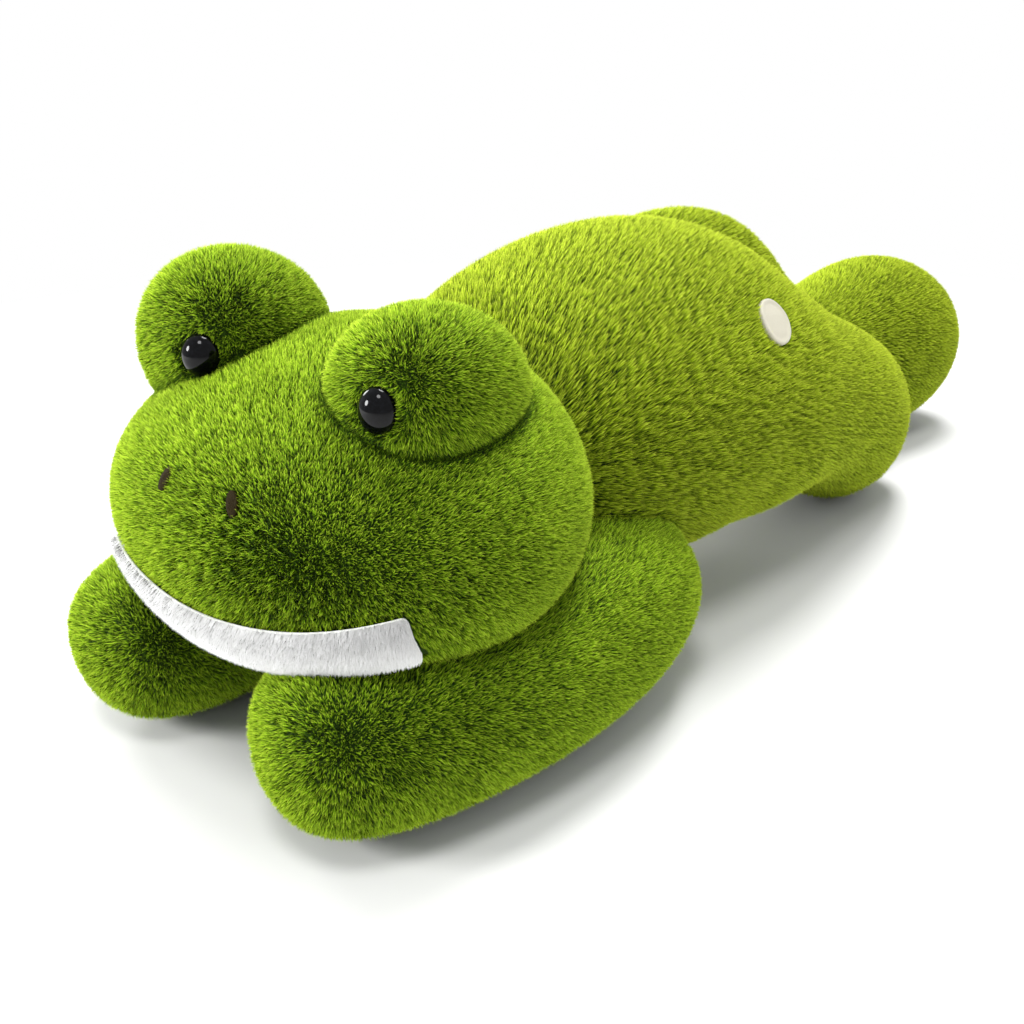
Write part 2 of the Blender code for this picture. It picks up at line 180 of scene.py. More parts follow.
# Brown polyester embroidery thread, laid in satin stitch, with the fine dark twist of its plies
def threadMaterial():
    material, tree, shader = newMaterial("brownSatinStitch", {
        "Roughness": 0.6, "Specular IOR Level": 0.1})
    place = addNode(tree, "UVMap", {"uv_map": "OFBake"})
    ply = addNode(tree, "TexWave", {"Scale": 9.0, "Distortion": 1.2, "Detail": 2.0},
                  {"Vector": place.outputs["UV"]})
    setColour(tree, shader, ply.outputs["Fac"], [(0.1, "#1a1404"), (0.7, "#352b10")])
    setBump(tree, shader, ply.outputs["Fac"], 0.4, 0.0003)
    return material


# Off-white woven polyester tape, plain weave of 0.35 mm threads drawn at 0.5 mm so that it shows
def labelMaterial():
    material, tree, shader = newMaterial("wovenLabelCloth", {"Roughness": 0.65, "Sheen Weight": 0.15})
    place = addNode(tree, "UVMap", {"uv_map": "OFBake"})
    warp = addNode(tree, "TexWave", {"Scale": 17.0, "bands_direction": "X"}, {"Vector": place.outputs["UV"]})
    weft = addNode(tree, "TexWave", {"Scale": 17.0, "bands_direction": "Y"}, {"Vector": place.outputs["UV"]})
    cloth = addNode(tree, "Math", {"operation": "MULTIPLY"}, {0: warp.outputs["Fac"], 1: weft.outputs["Fac"]})
    setColour(tree, shader, cloth.outputs["Value"], [(0.0, "#bfb9a3"), (0.6, "#dfdbca")])
    setBump(tree, shader, cloth.outputs["Value"], 0.35, 0.0002)
    return material


greenPile = pileMaterial("greenPolyesterPile", "greenDeep", "greenPale", "#dcf040")
# A greener copy of the green pile, painted shade, for the head, mounds and arms
shadedGreenPile = pileMaterial("shadedGreenPolyesterPile", "shadedGreenDeep", "shadedGreenPale", "#d0f03c")
whitePile = pileMaterial("whitePolyesterPile", "whiteDeep", "whitePale", "#ffffff")
# The green backing's near-black greens are partly the knit's green and partly painted shade deep in the pile
greenBacking = backingMaterial("greenKnitBacking", "#0d1a00", "#2a4204", 1.2)
whiteBacking = backingMaterial("whiteKnitBacking", "#f0f0ec", "#fafaf8", 1.2)
stuffing = stuffingMaterial()
eyePlastic = eyeMaterial()
washerPlastic = washerMaterial()
brownThread = threadMaterial()
labelCloth = labelMaterial()
print("materials made")


def unit(vectors):
    return vectors / np.maximum(np.linalg.norm(vectors, axis=-1, keepdims=True), 1e-12)


# A smooth random field and its slope: a sum of sine waves in random directions, about one in each length
def waves(points, length, count, seed, withSlope=False):
    dice = np.random.default_rng(seed)
    axes = unit(dice.normal(size=(count, 3))) * (2 * math.pi / (length * dice.uniform(0.7, 1.4, (count, 1))))
    phases = points @ axes.T + dice.uniform(0, 2 * math.pi, count)
    field = np.sin(phases).sum(1) / math.sqrt(count / 2)
    return (field, np.cos(phases) @ axes / math.sqrt(count / 2)) if withSlope else field


def newMesh(name, points, faces, material, smooth=True):
    mesh = bpy.data.meshes.new(name)
    sizes = np.concatenate([np.full(len(group), group.shape[1]) for group in faces])
    corners = np.concatenate([group.ravel() for group in faces]).astype(np.int32)
    mesh.vertices.add(len(points))
    mesh.vertices.foreach_set("co", np.ascontiguousarray(points, np.float32).ravel())
    mesh.loops.add(len(corners))
    mesh.loops.foreach_set("vertex_index", corners)
    mesh.polygons.add(len(sizes))
    mesh.polygons.foreach_set("loop_start", (np.cumsum(sizes) - sizes).astype(np.int32))
    mesh.polygons.foreach_set("use_smooth", np.full(len(sizes), smooth))
    mesh.update()
    mesh.materials.append(material)
    piece = bpy.data.objects.new(name, mesh)
    bpy.context.collection.objects.link(piece)
    return piece


# Faces of a grid that closes round its columns, with a pole point before the first row and after the last
def closedGrid(rows, columns):
    index = np.arange(rows * columns).reshape(rows, columns)
    following = np.roll(index, -1, axis=1)
    quads = np.stack([index[:-1], following[:-1], following[1:], index[1:]], -1).reshape(-1, 4)
    first, last = rows * columns, rows * columns + 1
    caps = [np.stack([np.full(columns, first), following[0], index[0]], -1),
            np.stack([np.full(columns, last), index[-1], following[-1]], -1)]
    return quads, np.concatenate(caps)


def trianglesOf(quads, caps):
    return np.concatenate([quads[:, [0, 1, 2]], quads[:, [0, 2, 3]], caps])


def normalsOf(points, triangles):
    a, b, c = (points[triangles[:, i]] for i in range(3))
    flat = np.cross(b - a, c - a)
    total = np.zeros_like(points)
    for i in range(3):
        for axis in range(3):
            total[:, axis] += np.bincount(triangles[:, i], flat[:, axis], len(points))
    return unit(total)


reachSet = {"far": 0.075, "joined": 0.070, "batch": 1500}  # metres, and points compared at once


# Signed distance to a skin, positive outside: (point - nearest) . normal there
def clearance(points, skin, reach=reachSet["far"], withNormal=False):
    out, facing = np.full(len(points), reach), np.zeros((len(points), 3))
    low, high = skin["points"].min(0) - reach, skin["points"].max(0) + reach
    near = np.flatnonzero(((points > low) & (points < high)).all(1))
    target, normals = skin["points"][skin["probe"]], skin["normals"][skin["probe"]]
    thin = target.astype(np.float32)
    size = (thin ** 2).sum(1) / 2
    for part in np.array_split(near, max(1, len(near) // reachSet["batch"])):
        if len(part):
            nearest = (points[part].astype(np.float32) @ thin.T - size).argmax(1)
            out[part] = ((points[part] - target[nearest]) * normals[nearest]).sum(1)
            facing[part] = normals[nearest]
    return (out, facing) if withNormal else out


# The stuffed forms, as in the part's source: rings of (along, side, up, width, height) shares on a path
designShift = np.array((0.0027, -0.0138, 0.0))  # from the source's frame to this one
headSet = {"turn": math.radians(7.5), "roll": math.radians(3), "about": np.array((0.003, -0.214, 0.180))}
forms = {
    "torso": {"length": 0.339, "width": 0.208, "height": 0.206, "front": -0.236, "middle": 0.130,
              "spread": 0.0,
              "rings": [(0, 0, -.02, .12, .12), (.02, 0, -.02, .56, .44), (.132, 0, 0, .85, .77),
                        (.345, 0, 0, .96, .965), (.548, 0, -.01, 1, .98), (.711, 0, -.07, .92, .83),
                        (.843, 0, -.155, .72, .54), (.954, 0, -.19, .42, .31), (1, 0, -.19, .12, .12)]},
    "head": {"length": 0.190, "width": 0.235, "height": 0.159, "front": -0.388, "middle": 0.1255,
             "spread": 0.0,
             "rings": [(0, 0, -.02, .12, .14), (.035, 0, -.02, .51, .50), (.19, 0, -.01, .84, .78),
                       (.44, 0, 0, 1, .96), (.73, 0, .01, .91, 1), (.96, 0, .02, .63, .72),
                       (1, 0, .02, .12, .14)]},
    "leftMound": {"length": 0.0875, "width": 0.078, "height": 0.077, "front": -0.344, "middle": 0.189,
                  "spread": 0.0505},
    "rightMound": {"length": 0.0875, "width": 0.078, "height": 0.090, "front": -0.344, "middle": 0.189,
                   "spread": -0.0628},
    "leftArm": {"length": 0.258, "width": 0.107, "height": 0.100, "front": -0.386, "middle": 0.049,
                "spread": (.056, .080, .066)},
    "rightArm": {"length": 0.258, "width": 0.107, "height": 0.100, "front": -0.392, "middle": 0.049,
                 "spread": (-.073, -.084, -.066)},
    "leftLeg": {"length": 0.271, "width": 0.130, "height": 0.148, "front": -0.050, "middle": 0.0795,
                "spread": 0.050,
                "rings": [(0, 0, .30, .18, .16), (.036, 0, .29, .70, .78), (.218, -.015, .26, .80, .87),
                          (.446, -.08, .195, .88, .76), (.642, -.155, .03, .91, .84),
                          (.819, -.205, -.115, .82, .86),
                          (.964, -.22, -.15, .57, .58), (1, -.22, -.15, .15, .13)]},
    "rightLeg": {"length": 0.460, "width": 0.152, "height": 0.168, "front": -0.040, "middle": 0.0895,
                 "spread": -0.050,
                 "rings": [(0, 0, .32, .16, .14), (.02, .03, .32, .60, .82), (.155, .03, .33, .74, .99),
                           (.27, .02, .31, .77, .99), (.40, -.03, .045, .70, .74),
                           (.545, -.05, -.04, .68, .66), (.69, -.07, -.045, .86, .83),
                           (.83, -.09, -.045, 1, .97), (.975, -.12, -.05, .77, .70),
                           (1, -.12, -.05, .16, .15)]},
}
moundRings = [(0, -.03, .01, .22, .20), (.04, -.03, .01, .60, .57), (.20, -.01, .01, .89, .88),
              (.45, 0, 0, 1, 1), (.74, .01, -.07, .90, .92), (.96, .03, -.20, .60, .63),
              (1, .03, -.22, .19, .17)]
armRings = [(0, 0, -.03, .19, .20), (.025, 0, -.03, .64, .66), (.13, 0, -.02, .90, .92),
            (.33, 0, -.01, 1, .97), (.57, 0, .01, .97, 1), (.80, 0, .04, .94, 1), (.97, 0, .07, .67, .68),
            (1, 0, .07, .15, .16)]
for name, form in forms.items():
    form.setdefault("rings", moundRings if name.endswith("Mound") else armRings)


# Head pieces are rolled, then turned, about the neck joint, as in the source
def headPlaced(points, back=False):
    c, s = math.cos(headSet["roll"]), math.sin(headSet["roll"])
    roll = np.array([[c, 0, s], [0, 1, 0], [-s, 0, c]])
    c, s = math.cos(headSet["turn"]), math.sin(headSet["turn"])
    turn = np.array([[c, -s, 0], [s, c, 0], [0, 0, 1]])
    matrix = turn @ roll
    if back:
        return (points - designShift - headSet["about"]) @ matrix + headSet["about"]
    return (points - headSet["about"]) @ matrix.T + headSet["about"] + designShift


# One cubic B-spline along the rings' centres c, half widths s and half heights h (all vectors):
# point(t, a) = c(t) + cos(a) s(t) + sin(a) h(t)
def formPath(form, count):
    table = np.array(form["rings"], float)
    spread = np.interp(table[:, 0], [0, 0.5, 1], np.broadcast_to(form["spread"], 3))
    across = spread + math.copysign(1, spread[0]) * table[:, 1] * form["width"]
    centres = np.stack([across, form["front"] + table[:, 0] * form["length"],
                        form["middle"] + table[:, 2] * form["height"]], 1)
    along = unit(np.gradient(centres, axis=0))
    side = unit(np.cross(along, (0.0, 0.0, 1.0)))
    rise = np.cross(side, along)
    halves = table[:, 3:5] * (form["width"], form["height"]) / 2
    controls = np.hstack([centres, side * halves[:, :1], rise * halves[:, 1:]])
    controls = np.vstack([2 * controls[0] - controls[1], controls, 2 * controls[-1] - controls[-2]])

    def spline(t):
        i = np.minimum(t.astype(int), len(table) - 2)
        f = (t - i)[:, None]
        weights = ((1 - f) ** 3, 3 * f ** 3 - 6 * f ** 2 + 4, -3 * f ** 3 + 3 * f ** 2 + 3 * f + 1, f ** 3)
        return sum(w * controls[i + k] for k, w in enumerate(weights)) / 6
    fine = np.linspace(0, len(table) - 1, 600)
    path = spline(fine)
    profile = np.hstack([path[:, :3], np.linalg.norm(path[:, 3:6], axis=1)[:, None]])
    # equal steps along the outline
    run = np.append(0, np.cumsum(np.linalg.norm(np.diff(profile, axis=0), axis=1)))
    return spline(np.interp(np.linspace(0, run[-1], count), run, fine))


# grid step, depth of the backing under the part's own skin, how much is pressed flat, and its lowest height
skinGrid = {"stepMm": 5.5, "pileInset": 0.0022, "floorFlat": 0.0005, "lowest": 0.0020}


def formSurface(name, form, inset):
    rows = int(1000 * (form["length"] + form["width"]) / skinGrid["stepMm"] * 1.1)
    columns = int(3.14 * 500 * (form["width"] + form["height"]) / skinGrid["stepMm"])
    path = formPath(form, rows)
    angle = np.arange(columns) * 2 * math.pi / columns
    centre, side, rise = path[:, None, :3], path[:, None, 3:6], path[:, None, 6:9]
    grid = centre + np.cos(angle)[None, :, None] * side + np.sin(angle)[None, :, None] * rise
    points = np.vstack([grid.reshape(-1, 3), path[0, :3], path[-1, :3]])
    quads, caps = closedGrid(rows, columns)
    triangles = trianglesOf(quads, caps)
    if name in ("head", "leftMound", "rightMound"):
        points = headPlaced(points)
    else:
        points = points + designShift
    if name.endswith("Arm") or name.endswith("Leg"):
        points[:, 2] += -skinGrid["floorFlat"] - points[:, 2].min()
    normals = normalsOf(points, triangles)
    volume = (points[triangles[:, 0]] * np.cross(points[triangles[:, 1]], points[triangles[:, 2]])).sum()
    if volume < 0:
        quads, caps, triangles, normals = quads[:, ::-1], caps[:, ::-1], triangles[:, ::-1], -normals
    points = points - normals * inset
    sparse = np.arange(rows * columns).reshape(rows, columns)[::2, ::2].ravel()
    return {"points": points, "normals": normals, "quads": quads, "caps": caps, "triangles": triangles,
            "probe": np.append(sparse, [len(points) - 2, len(points) - 1])}


raw = {name: formSurface(name, form, skinGrid["pileInset"]) for name, form in forms.items()}

# Where two stuffed forms are sewn together the skin is drawn into a fillet, r/4 (1 - d/r)^2 high at a
# distance d from the other form, along the middle of both normals; r in metres, and how much painted shade
# darkens the pile in the seam's crease
fillets = {
    ("torso", "leftLeg"): (0.026, 0.0), ("torso", "rightLeg"): (0.009, 0.45),
    ("torso", "leftArm"): (0.014, 0.3), ("torso", "rightArm"): (0.014, 0.3),
    ("torso", "head"): (0.008, 0.2), ("head", "leftMound"): (0.004, 1.2),
    ("head", "rightMound"): (0.005, 0.9), ("leftLeg", "rightLeg"): (0.006, 0.0),
    ("torso", "leftMound"): (0.002, 0.0), ("torso", "rightMound"): (0.002, 0.0)}


# The skin with its fillets. seams: clearance to what hides it, distance to a seam, and how much painted shade
# its crease gets
def filleted(name):
    skin = raw[name]
    moved, seamShadeDepth = np.zeros_like(skin["points"]), np.zeros(len(skin["points"]))
    cover, seamGap = seamShadeDepth + reachSet["far"], seamShadeDepth + reachSet["far"]
    for pair, (radius, dark) in fillets.items():
        if name in pair:
            other = pair[1] if pair[0] == name else pair[0]
            gap, facing = clearance(skin["points"], raw[other], withNormal=True)
            # the legs swing apart, so their pile goes on behind each other
            if "torso" in pair or "head" in pair:
                cover = np.minimum(cover, gap)
            nearer = (np.abs(gap) < seamGap) & (dark > 0)
            seamGap, seamShadeDepth = np.where(nearer, np.abs(gap), seamGap), np.where(nearer, dark, seamShadeDepth)
            share = np.clip(1 - np.abs(gap) / radius, 0, 1)[:, None] * (gap < reachSet["joined"])[:, None]
            toward = unit(skin["normals"] * (1 - share / 2) + facing * share / 2)
            lean = np.maximum((toward * skin["normals"]).sum(1), 0.5)[:, None]
            moved += toward * radius / 4 * share ** 2 / lean
    points = skin["points"] + moved
    points[:, 2] = np.maximum(points[:, 2], skinGrid["lowest"])
    return {**skin, "points": points, "normals": normalsOf(points, skin["triangles"]),
            "seams": np.stack([cover, seamGap, seamShadeDepth], 1)}


skins = {name: filleted(name) for name in raw}
print("skins shaped:", {name: len(skin["points"]) for name, skin in skins.items()})


# Which body lies past each joint, and a stretch from the torso across it: pile past the stretch rides that
# body, while the skins and the rest of that pile are left unattached where they are
bends = {
    "head": ("torso", "head", (0, -0.2138, 0.13), (0, -0.2738, 0.15)),
    "leftArm": ("torso", "left_arm", (0.07, -0.215, 0.05), (0.07, -0.300, 0.05)),
    "rightArm": ("torso", "right_arm", (-0.07, -0.215, 0.05), (-0.07, -0.300, 0.05)),
    "leftLeg": ("torso", "left_leg", (0.05, 0.035, 0.08), (0.03, 0.115, 0.07)),
    "rightLeg": ("torso", "right_leg", (-0.05, 0.085, 0.08), (-0.05, 0.165, 0.07)),
}
riders = {"torso": "torso", "leftMound": "head", "rightMound": "head"}
nodeNames = {"torso": "torso", "head": "head", "leftMound": "left_eye_mound", "rightMound": "right_eye_mound",
             "leftArm": "left_arm", "rightArm": "right_arm", "leftLeg": "left_leg", "rightLeg": "right_leg"}


def bendShare(points, start, end):
    start, end = np.array(start), np.array(end)
    return np.clip((points - start) @ (end - start) / ((end - start) ** 2).sum(), 0, 1)


def follow(piece, name, rigidly=False):
    if name in riders:
        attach(piece, riders[name])
    elif rigidly:
        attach(piece, bends[name][1])
    else:
        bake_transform(piece)


# Skins and stuffing: how deep the stuffing lies under the backing, and the lumps in it
stuffingSet = {"inset": 0.0065, "lump": 0.0012, "lumpLength": 0.035}
for name, skin in skins.items():
    shell = newMesh(name + "Backing", skin["points"], [skin["quads"], skin["caps"]], greenBacking)
    follow(shell, name)
    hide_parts(nodeNames[name] + "_skin")
    lumps = waves(skin["points"], stuffingSet["lumpLength"], 8, 3)[:, None] * stuffingSet["lump"]
    inner = skin["points"] - skin["normals"] * (stuffingSet["inset"] + lumps)
    filler = newMesh(name + "Stuffing", inner, [skin["quads"], skin["caps"]], stuffing)
    follow(filler, name)
    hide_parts(nodeNames[name] + "_fill")
print("skins and stuffing made")


# Eye beads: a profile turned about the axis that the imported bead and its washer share
eyeSet = {"radius": 0.0085, "dome": 0.0070, "rim": 0.0010, "stem": 0.0017, "stemLength": 0.0136,
          "bevel": 0.0002, "segments": 64, "oval": (0.96, 1.10), "bare": 0.86, "reach": 0.02,
          "turned": 0.40, "held": 0.7, "inward": 0.9}  # the last three turn the nap in towards the bead


def cadPoints(node):
    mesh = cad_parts[node].data
    flat = np.zeros(3 * len(mesh.vertices), np.float32)
    mesh.vertices.foreach_get("co", flat)
    return flat.reshape(-1, 3).astype(float)


def beadAxis(side):
    bead, washer = cadPoints(side + "_eye_bead"), cadPoints(side + "_eye_washer")
    middle = (washer.min(0) + washer.max(0)) / 2
    axis = unit(bead.mean(0) - middle)
    apex = bead[((bead - middle) @ axis).argmax()]
    return apex, unit(apex - middle)


# Frame of two directions square to an axis
def squareTo(axis):
    side = unit(np.cross((0.0, 0.0, 1.0), axis))
    return side, np.cross(axis, side)


# point(i, a) = apex + (height_i) axis + radius_i (cos(a) side + sin(a) up)
def beadSurface(side):
    apex, axis = beadAxis(side)
    across, rise = squareTo(axis)
    sweep = np.linspace(0.06, math.pi / 2, 18)
    radius, stem, bevel = eyeSet["radius"], eyeSet["stem"], eyeSet["bevel"]
    radii = np.concatenate([np.sin(sweep) * radius, [radius * 0.985, radius * 0.9, stem, stem, stem * 0.9]])
    depth = eyeSet["dome"] + eyeSet["rim"]
    foot = depth + eyeSet["stemLength"]
    heights = np.concatenate([(np.cos(sweep) - 1) * eyeSet["dome"],
                              [-depth + bevel, -depth, -depth, -foot, -foot - bevel]])
    angle = np.arange(eyeSet["segments"]) * 2 * math.pi / eyeSet["segments"]
    wide, tall = eyeSet["oval"]
    ring = np.cos(angle)[:, None] * across * wide + np.sin(angle)[:, None] * rise * tall
    grid = apex + heights[:, None, None] * axis + radii[:, None, None] * ring
    points = np.vstack([grid.reshape(-1, 3), apex, apex + heights[-1] * axis])
    quads, caps = closedGrid(len(radii), eyeSet["segments"])
    return points, [quads, caps]


for side in ("left", "right"):
    points, faces = beadSurface(side)
    bead = newMesh(side + "EyeBead", points, faces, eyePlastic)
    triangles = trianglesOf(*faces)
    a, b, c = (points[triangles[:, i]] for i in range(3))
    if (a * np.cross(b - points[-1], c - points[-1])).sum() < 0:
        bead.data.flip_normals()
    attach(bead, "head")
    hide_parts(side + "_eye_bead")
    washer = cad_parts[side + "_eye_washer"]
    for slot in washer.material_slots:
        slot.material = washerPlastic
print("eyes made")


# Mouth band: on the head's front between two smiling lines, as in the source
mouthSet = {"halfSpan": 0.0875, "lower": 0.0815, "height": 0.0225, "rise": 0.0165, "thickness": 0.0014,
            "farTaper": 0.40, "farEnd": -0.77, "columns": 150, "around": 48}
headPath = formPath(forms["head"], 400)


# y of the head's front at (x, z), by halving: inside where (x/w)^2 + ((z-c)/h)^2 < 1
def headFront(x, z, inset):
    near = np.full(x.shape, headPath[0, 1] - 0.001)
    far = np.full(x.shape, headPath[:, 1].mean() + 0.02)
    for step in range(30):
        y = (near + far) / 2
        width = np.interp(y, headPath[:, 1], np.linalg.norm(headPath[:, 3:6], axis=1)) - inset
        height = np.interp(y, headPath[:, 1], np.linalg.norm(headPath[:, 6:9], axis=1)) - inset
        middle = np.interp(y, headPath[:, 1], headPath[:, 2])
        inside = (x / np.maximum(width, 1e-4)) ** 2 + ((z - middle) / np.maximum(height, 1e-4)) ** 2 < 1
        near, far = np.where(inside, near, y), np.where(inside, y, far)
    return (near + far) / 2


# Share of the band's height by which its lower edge rises towards the far end
def bandTaper(u):
    return mouthSet["farTaper"] * np.clip((-u - 0.45) / 0.55, 0, 1)


def bandBase(u, v):
    x = u * mouthSet["halfSpan"]
    taper = bandTaper(u)
    z = mouthSet["lower"] + mouthSet["rise"] * u ** 2 + (taper + v * (1 - taper)) * mouthSet["height"]
    return headPlaced(np.stack([x, headFront(x, z, 0.0), z], -1))


# Rounded strip: v = (1 - cos a)/2 squared off, height above the head = thickness sin a squared off
def bandSurface():
    count, around = mouthSet["columns"], mouthSet["around"]
    even = np.sin(np.linspace(-math.pi / 2, math.pi / 2, count)) * 0.4 + np.linspace(-1, 1, count) * 0.6
    u = np.interp(even, [-1, 1], [mouthSet["farEnd"], 1])
    a = np.arange(around) * 2 * math.pi / around
    squared = lambda wave, power: np.sign(wave) * np.abs(wave) ** power
    endShare = np.clip((1 - np.abs(even)) / 0.02, 0, 1) ** 0.5
    v = 0.5 - 0.5 * squared(np.cos(a), 0.6)[None, :] * (0.80 + 0.20 * endShare)[:, None]
    lift = squared(np.sin(a), 0.6)[None, :] * mouthSet["thickness"] * (0.35 + 0.65 * endShare)[:, None]
    wide = np.repeat(u[:, None], around, 1)
    base = bandBase(wide, v)
    stepU = bandBase(wide + 1e-3, v) - base
    stepV = bandBase(wide, v + 1e-3) - base
    normal = unit(np.cross(stepU, stepV))
    points = base + normal * np.maximum(lift, -0.001)[:, :, None]
    flat = points.reshape(-1, 3)
    return np.vstack([flat, points[0].mean(0), points[-1].mean(0)]), closedGrid(count, around)


bandPoints, (bandQuads, bandCaps) = bandSurface()
bandTriangles = trianglesOf(bandQuads, bandCaps)
a, b, c = (bandPoints[bandTriangles[:, i]] - bandPoints.mean(0) for i in range(3))
if (a * np.cross(b, c)).sum() < 0:
    bandQuads, bandCaps, bandTriangles = bandQuads[:, ::-1], bandCaps[:, ::-1], bandTriangles[:, ::-1]
band = newMesh("mouthBand", bandPoints, [bandQuads, bandCaps], whiteBacking)
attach(band, "head")
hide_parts("mouth_band")
# The band has no seam, so its pile gets no painted crease shade
bandSkin = {"points": bandPoints, "normals": normalsOf(bandPoints, bandTriangles), "triangles": bandTriangles,
            "seams": np.tile([0.1, 0.1, 0.0], (len(bandPoints), 1))}  # nothing hides it, no dark seam
print("mouth band made")


# Nostrils: ovals of satin stitch, whose threads run along the short axis
nostrilSet = {"width": 0.0052, "height": 0.0108, "dome": 0.0012, "thread": 0.0007, "ridge": 0.00018,
              "lean": 14, "sunk": 0.0009, "bare": 0.95, "reach": 0.01, "rows": 16, "columns": 48}


def discFrame(node, skin):
    points = cadPoints(node)
    centre = (points.min(0) + points.max(0)) / 2
    nearest = ((skin["points"] - centre) ** 2).sum(1).argmin()
    normal = skin["normals"][nearest]
    return centre - normal * ((centre - skin["points"][nearest]) @ normal), normal


# point(r, a) = centre + r (cos(a) w/2 across + sin(a) h/2 up) + (bed + dome sqrt(1 - r^2) + ridges) normal
def nostrilSurface(side, sign):
    centre, normal = discFrame(side + "_nostril", skins["head"])
    across, rise = squareTo(normal)
    lean = math.radians(nostrilSet["lean"]) * sign
    across, rise = (math.cos(lean) * across + math.sin(lean) * rise,
                    math.cos(lean) * rise - math.sin(lean) * across)
    r = np.sin(np.linspace(0.05, math.pi / 2, nostrilSet["rows"]))
    r = np.append(r, 0.9)
    a = np.arange(nostrilSet["columns"]) * 2 * math.pi / nostrilSet["columns"]
    x = r[:, None] * np.cos(a) * nostrilSet["width"] / 2
    y = r[:, None] * np.sin(a) * nostrilSet["height"] / 2
    bed = skinGrid["pileInset"] - nostrilSet["sunk"]
    threads = nostrilSet["ridge"] * np.cos(2 * math.pi * y / nostrilSet["thread"])
    height = bed + nostrilSet["dome"] * np.sqrt(np.maximum(1 - r ** 2, 0))[:, None] + threads
    height[-2:] = bed - 0.0005
    height[-1] = -0.001
    grid = centre + x[..., None] * across + y[..., None] * rise + height[..., None] * normal
    points = np.vstack([grid.reshape(-1, 3), centre + (bed + nostrilSet["dome"]) * normal,
                        centre - 0.001 * normal])
    return points, closedGrid(len(r), nostrilSet["columns"]), (x, y), (centre, across, rise, normal)


def outward(points, faces, centre):
    triangles = trianglesOf(*faces)
    a, b, c = (points[triangles[:, i]] - centre for i in range(3))
    if (a * np.cross(b, c)).sum() < 0:
        return [group[:, ::-1] for group in faces]
    return list(faces)


def mapFrom(piece, coordinates):
    corners = np.zeros(len(piece.data.loops), np.int32)
    piece.data.loops.foreach_get("vertex_index", corners)
    layer = piece.data.uv_layers.new(name="OFBake")
    layer.data.foreach_set("uv", coordinates[corners].astype(np.float32).ravel())


nostrilFrames = []
for side, sign in (("left", 1), ("right", -1)):
    points, faces, (x, y), place = nostrilSurface(side, sign)
    faces = outward(points, faces, points.mean(0))
    pad = newMesh(side + "Nostril", points, faces, brownThread)
    spots = np.stack([x.ravel() / nostrilSet["width"] + 0.5, y.ravel() / nostrilSet["height"] + 0.5], -1)
    mapFrom(pad, np.vstack([spots, [0.5, 0.5], [0.5, 0.5]]))
    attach(pad, "head")
    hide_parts(side + "_nostril")
    nostrilFrames.append(place)

# Label: a blank woven disc with an overlocked, slightly raised edge, lying on the flank
labelSet = {"radius": 0.0135, "top": 0.0029, "edge": 0.0011, "edgeRise": 0.0006, "bare": 0.96,
            "reach": 0.012, "columns": 72}


# point(r, a) = place on the flank + height(r) normal; height rises to a rounded edge near r = 1
def labelSurface():
    centre, normal = discFrame("round_label", skins["torso"])
    across, rise = squareTo(normal)
    r = np.concatenate([np.linspace(0.06, 0.88, 10), np.linspace(0.90, 1.0, 9), [1.0, 0.985]])
    height = np.full(len(r), labelSet["top"])
    bead = (r - (1 - labelSet["edge"] / labelSet["radius"])) / (labelSet["edge"] / labelSet["radius"])
    height += np.where(np.abs(bead) < 1, labelSet["edgeRise"] * np.sqrt(np.maximum(1 - bead ** 2, 0)), 0)
    height[-3:] = [labelSet["top"] - 0.0006, 0.0004, 0.0002]
    a = np.arange(labelSet["columns"]) * 2 * math.pi / labelSet["columns"]
    x = r[:, None] * np.cos(a) * labelSet["radius"]
    y = r[:, None] * np.sin(a) * labelSet["radius"]
    grid = centre + x[..., None] * across + y[..., None] * rise
    flat = grid.reshape(-1, 3)
    flat = flat - clearance(flat, skins["torso"])[:, None] * normal + height.repeat(len(a))[:, None] * normal
    middleTop = centre + labelSet["top"] * normal
    points = np.vstack([flat, middleTop, flat.reshape(grid.shape)[-1].mean(0)])
    spots = np.stack([x.ravel(), y.ravel()], -1) / (2 * labelSet["radius"]) + 0.5
    return points, closedGrid(len(r), len(a)), np.vstack([spots, [0.5, 0.5], [0.5, 0.5]]), (centre, normal)


points, faces, spots, labelFrame = labelSurface()
label = newMesh("roundLabel", points, outward(points, faces, points.mean(0)), labelCloth)
mapFrom(label, spots)
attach(label, "torso")
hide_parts("round_label")
print("nostrils and label made")


# Pile: every fibre is one thin triangle, rooted on the backing and leaning with the nap. Each set has fibres
# for each square millimetre, pile length, root width, lean as a slope, how wide the streaks are and how many
# times longer than wide, and the point that the nap runs away from or its slope at both ends
headPile = {"density": 4.6, "pile": 0.0026, "width": 0.00050, "lean": 0.70,
            "streakLength": 0.0011, "streak": 1.6}
armPile = {"density": 3.4, "pile": 0.0027, "width": 0.00054, "lean": 0.70,
           "streakLength": 0.0012, "streak": 1.7}
legPile = {"density": 2.0, "pile": 0.0042, "width": 0.00064, "lean": 1.00,
           "streakLength": 0.0016, "streak": 4.4,
           "streaks": 0.36, "comb": 0.24, "loose": 0.12, "strength": 0.05, "flowTo": -0.30}
pileSet = {
    "head": {**headPile, "from": (0.055, -0.414, 0.124), "calm": 0.055},
    "leftMound": {**headPile, "bead": "left", "from": (0.098, -0.345, 0.237), "calm": 0.035},
    "rightMound": {**headPile, "bead": "right", "from": (0.006, -0.346, 0.234), "calm": 0.035},
    "leftArm": {**armPile, "from": (0.113, -0.402, 0.086), "calm": 0.055},
    "rightArm": {**armPile, "from": (-0.010, -0.399, 0.066), "calm": 0.055},
    "torso": {"density": 2.6, "pile": 0.0042, "width": 0.00060, "lean": 1.00, "streakLength": 0.0015,
              "streak": 4.6, "streaks": 0.38, "comb": 0.26, "loose": 0.11, "strength": 0.04,
              "flow": 0.55, "flowTo": -0.25},
    "leftLeg": {**legPile, "flow": -0.10},
    "rightLeg": {**legPile, "flow": 0.10},
}
